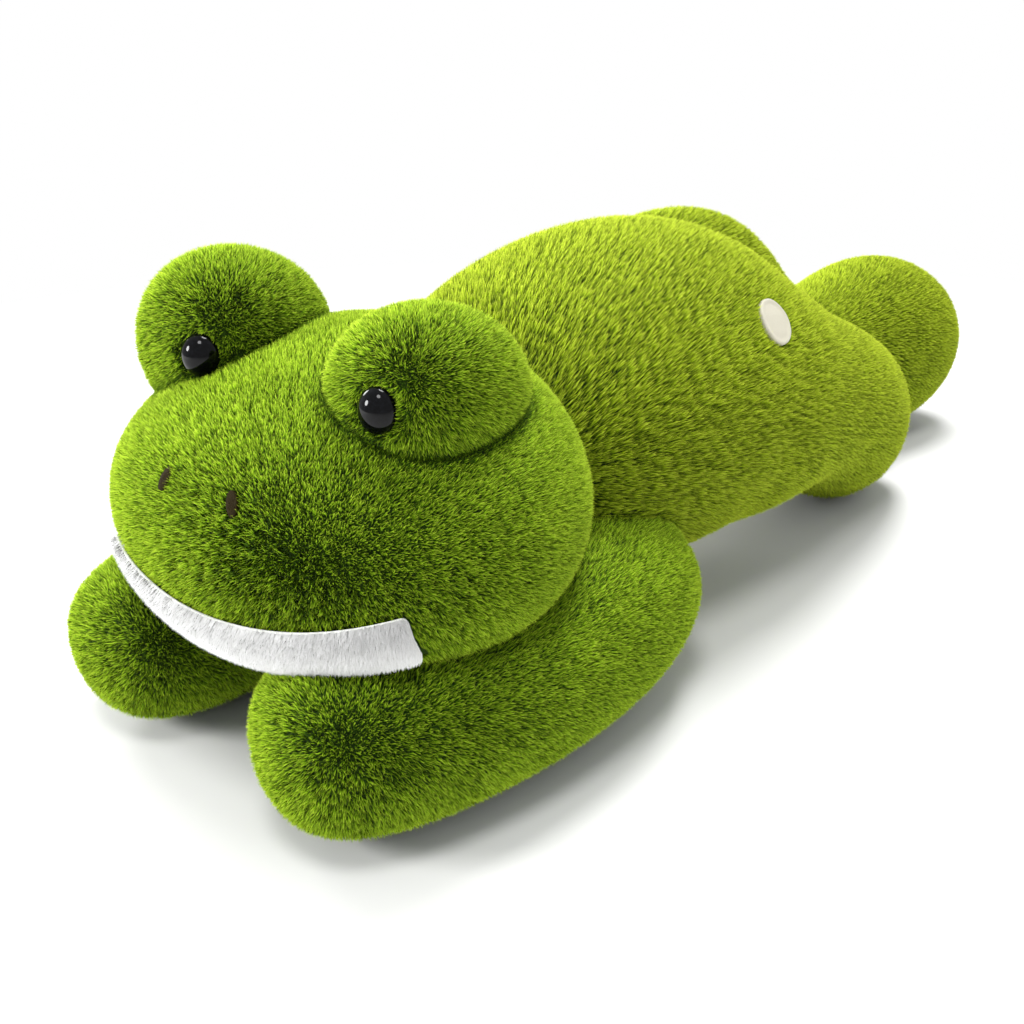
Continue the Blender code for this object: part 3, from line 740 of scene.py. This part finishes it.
# What all fibres share unless their piece says otherwise: loose lumps (length, strength), how much tone,
# facing and direction differ from fibre to fibre (tone, shade, loose), how much the streaks show (streaks,
# which paints shade into their troughs, comb, gather), how wide the painted shade along seams reaches, the
# few that stand wilder, and the limits of lean, length and width
fibreSet = {"length": 0.0060, "strength": 0.10, "loose": 0.20, "tone": 0.34, "shade": 0.46, "tilt": 0.30,
            "streaks": 0.38, "comb": 0.28, "gather": 2.4, "cell": 0.024, "shadeLength": 0.024, "mottle": 0.06,
            "seamShade": 0.0040, "wildShare": 0.03, "wild": 2.2, "flattest": 0.24, "shortest": 0.74,
            "longest": 1.10, "thinnest": 0.75, "widest": 1.25}
# Where pile grows: the torso's and legs' nap turns between two places on y, undersides near the floor carry
# less of it, and what lies deeper than "buried" inside another form carries none
growthSet = {"napFrom": -0.20, "napTo": 0.12, "backward": 0.25, "nearFloor": 0.02, "facingDown": -0.6,
             "underneath": 0.35, "buried": 0.0010, "lowest": 0.0005, "perPiece": 190000}


# Random points on the triangles, as many for each square millimetre as the density says
def scatter(skin, density, dice):
    triangles = skin["triangles"]
    a, b, c = (skin["points"][triangles[:, i]] for i in range(3))
    area = np.linalg.norm(np.cross(b - a, c - a), axis=1) / 2 * 1e6
    facing = np.cross(b - a, c - a)[:, 2] / np.maximum(area * 2e-6, 1e-12)
    low = (skin["points"][triangles[:, 0], 2] < growthSet["nearFloor"]) & (facing < growthSet["facingDown"])
    seen = np.where(skin["seams"][triangles, 0].max(1) > -growthSet["buried"], 1.0, 0.0)
    weight = np.cumsum(area * density * seen * np.where(low, growthSet["underneath"], 1.0))
    pick = np.searchsorted(weight, dice.random(int(weight[-1])) * weight[-1])
    u, v = dice.random(len(pick)), dice.random(len(pick))
    over = u + v > 1
    u, v = np.where(over, 1 - u, u), np.where(over, 1 - v, v)
    shares = np.stack([1 - u - v, u, v], 1)[:, :, None]
    corners = triangles[pick]
    roots = (skin["points"][corners] * shares).sum(1)
    normals = unit((skin["normals"][corners] * shares).sum(1))
    return roots, normals, (skin["seams"][corners] * shares).sum(1)


# root -+ half width across, and tip = root + length * unit(normal + lean * nap + gather * slope + noise).
# The streaks are waves squeezed along the nap, about the middle of a cell so that they keep their width
# where the nap turns, and taken where the tip would be. Tips lean towards the crests, and the tone of a
# fibre = 1/2 + streak + mottle - seam shade + its own noise: the streak term paints shade into the troughs
# between streaks, and the seam shade is painted shade in the creases along seams
def fibres(roots, normals, seams, nap, settings, dice):
    count = len(roots)
    noise = {**fibreSet, **settings}
    clump = np.stack([waves(roots, noise["length"], 7, 11 + i) for i in range(3)], 1) * noise["strength"]
    flow = unit(nap)
    straight = normals + nap * settings["lean"]
    cell = noise["cell"]
    middle = np.round((roots + dice.normal(size=(count, 3)) * cell * 0.1) / cell) * cell
    ahead = roots + unit(straight) * settings["pile"] * 0.8
    squeeze = 1 - 1 / settings["streak"]
    ahead -= flow * (((ahead - middle) * flow).sum(1) * squeeze)[:, None]
    streak, slope = waves(ahead, noise["streakLength"], 9, 21, withSlope=True)
    slope -= flow * ((slope * flow).sum(1) * squeeze)[:, None]
    gather = noise["gather"] * (noise["streakLength"] / (2 * math.pi)) ** 2 / settings["pile"]
    own = dice.normal(size=(count, 3)) * noise["loose"]
    own[dice.random(count) < noise["wildShare"]] *= noise["wild"]
    along = unit(straight + clump + own + slope * gather)
    along = unit(along + normals * np.maximum(noise["flattest"] - (along * normals).sum(1), 0)[:, None])
    # Painted shade in the creases along seams: darker tone near a seam, where the fibres are also shorter
    seamShade = np.exp(-(seams[:, 1] / noise["seamShade"]) ** 2) * seams[:, 2]
    mottle = noise["mottle"] * waves(roots, noise["shadeLength"], 8, 41)
    # The streak term darkens the troughs, painted shade where the pile parts
    tone = 0.50 + noise["streaks"] * streak + mottle - seamShade
    tone = np.clip(tone + dice.normal(size=count) * noise["tone"], 0.02, 0.98)
    length = settings["pile"] * dice.uniform(noise["shortest"], noise["longest"], count)
    length = length * (1 + noise["comb"] * np.clip(streak, -1, 1)) * (1 - 0.5 * seamShade)
    across = unit(np.cross(normals, along) + dice.normal(size=(count, 3)) * 0.5)
    across = unit(across - along * (across * along).sum(1)[:, None])
    half = across * (settings["width"] * dice.uniform(noise["thinnest"], noise["widest"], count) / 2)[:, None]
    points = np.stack([roots - half, roots + half, roots + along * length[:, None]], 1)
    flipped = (np.cross(half, along) * normals).sum(1) < 0
    points[flipped] = points[flipped][:, [1, 0, 2]]
    shade = unit(normals + noise["tilt"] * along + noise["shade"] * dice.normal(size=(count, 3)))
    return points, shade, tone


# One mesh of fibres, each shaded with its own normal; the map holds its tone and the way from root to tip
def pilePiece(name, points, shading, tone, material):
    points = points.copy()
    points[:, :, 2] = np.maximum(points[:, :, 2], growthSet["lowest"])
    count = len(points)
    piece = newMesh(name, points.reshape(-1, 3), [np.arange(3 * count).reshape(-1, 3)], material)
    normals = piece.data.attributes.new("custom_normal", "FLOAT_VECTOR", "POINT")
    normals.data.foreach_set("vector", np.repeat(shading, 3, axis=0).astype(np.float32).ravel())
    spots = np.stack([np.repeat(tone, 3), np.tile([0.02, 0.02, 0.98], count)], 1)
    piece.data.uv_layers.new(name="OFBake").data.foreach_set("uv", spots.astype(np.float32).ravel())
    piece.data.update()
    return piece


# Roots under the band, the nostrils, the beads and the label carry no fibres
def bare(name, roots):
    gone = np.zeros(len(roots), bool)
    if name == "head":
        local = headPlaced(roots, back=True)
        u = local[:, 0] / mouthSet["halfSpan"]
        v = (local[:, 2] - mouthSet["lower"] - mouthSet["rise"] * u ** 2) / mouthSet["height"]
        v = (v - bandTaper(u)) / (1 - bandTaper(u))
        gone |= (u > mouthSet["farEnd"]) & (u < 0.985) & (v > -0.02) & (v < 1.02) & (local[:, 1] < -0.30)
        for centre, across, rise, normal in nostrilFrames:
            offset = roots - centre
            x, y = offset @ across / (nostrilSet["width"] / 2), offset @ rise / (nostrilSet["height"] / 2)
            gone |= (x ** 2 + y ** 2 < nostrilSet["bare"]) & (np.abs(offset @ normal) < nostrilSet["reach"])
    if name.endswith("Mound"):
        apex, axis = beadAxis(pileSet[name]["bead"])
        offset = roots - apex
        radial = np.linalg.norm(offset - (offset @ axis)[:, None] * axis, axis=1)
        gone |= (radial < eyeSet["radius"] * eyeSet["bare"]) & (np.abs(offset @ axis) < eyeSet["reach"])
    if name == "torso":
        centre, normal = labelFrame
        offset = roots - centre
        radial = np.linalg.norm(offset - (offset @ normal)[:, None] * normal, axis=1)
        over = np.abs(offset @ normal) < labelSet["reach"]
        gone |= (radial < labelSet["radius"] * labelSet["bare"]) & over
    return gone


# The nap: away from one point and a little backwards, or along y with a slope; round a bead it turns inwards
def napOf(settings, roots, normals):
    if "from" in settings:
        away = roots - np.array(settings["from"])
        away /= np.linalg.norm(away, axis=1, keepdims=True) + settings["calm"]
        away = away + np.array((0.0, growthSet["backward"], 0.0))
    else:
        rise = np.interp(roots[:, 1], [growthSet["napFrom"], growthSet["napTo"]],
                         [settings["flow"], settings["flowTo"]])
        away = unit(np.stack([np.zeros(len(roots)), np.ones(len(roots)), rise], 1))
    if "bead" in settings:
        apex, axis = beadAxis(settings["bead"])
        offset = roots - apex
        radial = offset - (offset @ axis)[:, None] * axis
        reach = np.linalg.norm(radial, axis=1) / eyeSet["radius"]
        inward = np.exp(-((reach - 1.0) / eyeSet["turned"]) ** 2) * (np.abs(offset @ axis) < eyeSet["reach"])
        turned = unit(radial) * (eyeSet["inward"] * inward)[:, None]
        away = away * (1 - eyeSet["held"] * inward)[:, None] - turned
    return away - normals * (away * normals).sum(1)[:, None]


fibreCount = 0
thinned = 1.0
for seed, (name, settings) in enumerate(pileSet.items()):
    dice = np.random.default_rng(100 + seed)
    roots, normals, seams = scatter(skins[name], settings["density"] * thinned, dice)
    keep = (seams[:, 0] > -growthSet["buried"]) & ~bare(name, roots)
    roots, normals, seams = roots[keep], normals[keep], seams[keep]
    points, shading, tone = fibres(roots, normals, seams, napOf(settings, roots, normals), settings, dice)
    if name in bends:
        share = bendShare(roots, *bends[name][2:])
        groups = [("Joint", np.flatnonzero(share < 1)), ("", np.flatnonzero(share >= 1))]
    else:
        groups = [("", np.arange(len(roots)))]
    # The head, mounds and arms take the greener copy of the pile, painted shade
    cloth = greenPile if name in ("torso", "leftLeg", "rightLeg") else shadedGreenPile
    for stretch, group in groups:
        pieces = max(1, math.ceil(len(group) / growthSet["perPiece"]))
        parts = np.array_split(group[np.argsort(roots[group, 1], kind="stable")], pieces)
        for number, part in enumerate(parts):
            title = f"{name}Pile{stretch}{number + 1}"
            piece = pilePiece(title, points[part], shading[part], tone[part], cloth)
            follow(piece, name, rigidly=(stretch == ""))
            fibreCount += len(part)
    print(name, "pile", len(roots))

# White pile of the band: combed down, more so near the lower edge, and shaded as the head's front is
whiteSet = {"density": 14.0, "pile": 0.0034, "width": 0.00032, "lean": 0.85, "streakLength": 0.0014,
            "streak": 2.5, "streaks": 0.25, "comb": 0.12, "gather": 1.2, "loose": 0.10, "tone": 0.25,
            "shade": 0.10, "tilt": -0.30, "strength": 0.04, "clear": 0.0006, "down": 0.45, "fringe": 1.7}
dice = np.random.default_rng(200)
roots, normals, seams = scatter(bandSkin, whiteSet["density"], dice)
local = headPlaced(roots, back=True)
bandU = local[:, 0] / mouthSet["halfSpan"]
bandV = (local[:, 2] - mouthSet["lower"] - mouthSet["rise"] * bandU ** 2) / mouthSet["height"]
gap, facing = clearance(roots, raw["head"], withNormal=True)
keep = (gap > whiteSet["clear"]) & ((normals * facing).sum(1) > -0.2)
roots, normals, seams, bandV = roots[keep], facing[keep], seams[keep], bandV[keep]
combed = whiteSet["down"] + whiteSet["fringe"] * np.clip(1 - bandV, 0, 1) ** 3
nap = np.array((0.0, 0.0, -1.0)) * combed[:, None]
nap = nap - normals * (nap * normals).sum(1)[:, None]
points, shading, tone = fibres(roots, normals, seams, nap, whiteSet, dice)
piece = pilePiece("mouthBandPile", points, shading, tone, whitePile)
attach(piece, "head")
print("pile made:", fibreCount + len(roots), "fibres")


# Floor, lights, camera
stageSet = {"floorDark": "#f1f1ef", "floorPale": "#f3f3f1", "clearFrom": 0.55, "clearTo": 1.15,
            "worldColour": "#f5f6f8", "worldStrength": 0.66}


# 1 for rays of the camera, also through clear pieces
def seenDirectly(tree):
    path = addNode(tree, "LightPath")
    return addNode(tree, "Math", {"operation": "MAXIMUM"}, {
        0: path.outputs["Is Camera Ray"], 1: path.outputs["Is Transmission Ray"]}).outputs[0]


floorMaterial, tree, shader = newMaterial("paintedStudioFloor", {
    "Roughness": 0.85, "Specular IOR Level": 0.1})
place = addNode(tree, "TexCoord")
mottle = addNode(tree, "TexNoise", {"Scale": 3.0, "Detail": 2.0}, {"Vector": place.outputs["Object"]})
setColour(tree, shader, mottle.outputs["Fac"], [(0.3, stageSet["floorDark"]), (0.7, stageSet["floorPale"])])
# Away from the toy the floor turns into the plain white of the backdrop, for camera rays
reachOut = addNode(tree, "VectorMath", {"operation": "LENGTH"}, {0: place.outputs["Object"]})
fade = addNode(tree, "MapRange", {"From Min": stageSet["clearFrom"], "From Max": stageSet["clearTo"]},
               {"Value": reachOut.outputs["Value"]})
share = addNode(tree, "Math", {"operation": "MULTIPLY"}, {0: seenDirectly(tree), 1: fade.outputs["Result"]})
white = addNode(tree, "Emission", {"Color": linear("#ffffff"), "Strength": 1.0})
blendOut = addNode(tree, "MixShader", {}, {0: share.outputs[0], 1: shader.outputs[0], 2: white.outputs[0]})
tree.links.new(blendOut.outputs[0], tree.nodes["Material Output"].inputs["Surface"])
floorCorners = np.array([(-6, -6, 0), (6, -6, 0), (6, 6, 0), (-6, 6, 0)], float) - (0, 0, 0.0002)
floor = newMesh("studioFloor", floorCorners, [np.array([[0, 1, 2, 3]])], floorMaterial, smooth=False)

world = bpy.data.worlds.new("studioWorld")
bpy.context.scene.world = world
world.use_nodes = True
tree = world.node_tree
tree.nodes.clear()
lit = addNode(tree, "Background", {
    "Color": linear(stageSet["worldColour"]), "Strength": stageSet["worldStrength"]})
plain = addNode(tree, "Background", {"Color": linear("#ffffff"), "Strength": 1.0})
mix = addNode(tree, "MixShader", {}, {0: seenDirectly(tree), 1: lit.outputs[0], 2: plain.outputs[0]})
addNode(tree, "OutputWorld", {}, {0: mix.outputs[0]})

# place, aim, size in metres, watts
lamps = {"overheadSoftbox": ((-0.2, 0.5, 1.9), (0.0, 0.0, 0.1), 0.8, 34.0),
         "frontSoftbox": ((0.45, -0.85, 1.6), (0.0, -0.2, 0.1), 0.5, 10.0),
         "leftSoftbox": ((-0.8, -1.7, 0.75), (0.0, -0.2, 0.1), 0.5, 24.0),
         "rimSoftbox": ((-1.6, -0.3, 0.9), (0.0, 0.0, 0.1), 0.6, 13.0)}


def aimed(place, target):
    back = unit(np.array(place, float) - np.array(target, float))
    right = unit(np.cross((0.0, 0.0, 1.0), back))
    rise = np.cross(back, right)
    matrix = np.eye(4)
    matrix[:3, 0], matrix[:3, 1], matrix[:3, 2], matrix[:3, 3] = right, rise, back, place
    return matrix.T.tolist()


for name, (place, target, size, watts) in lamps.items():
    lamp = bpy.data.lights.new(name, "AREA")
    lamp.shape, lamp.size, lamp.energy = "DISK", size, watts
    holder = bpy.data.objects.new(name, lamp)
    holder.matrix_world = Matrix(aimed(place, target)).transposed()
    bpy.context.collection.objects.link(holder)

cameraSet = {"place": (0.3794, -0.6028, 0.3100), "direction": (-0.622, 0.683, -0.383),
             "lens": 38.32, "sensor": 36.0}
camera = bpy.data.cameras.new("photoCamera")
camera.lens, camera.sensor_width, camera.clip_start = cameraSet["lens"], cameraSet["sensor"], 0.01
viewer = bpy.data.objects.new("photoCamera", camera)
target = np.array(cameraSet["place"]) + cameraSet["direction"]
viewer.matrix_world = Matrix(aimed(cameraSet["place"], target)).transposed()
bpy.context.collection.objects.link(viewer)
bpy.context.scene.camera = viewer
bpy.context.scene.view_settings.view_transform = "Standard"
print("stage set")
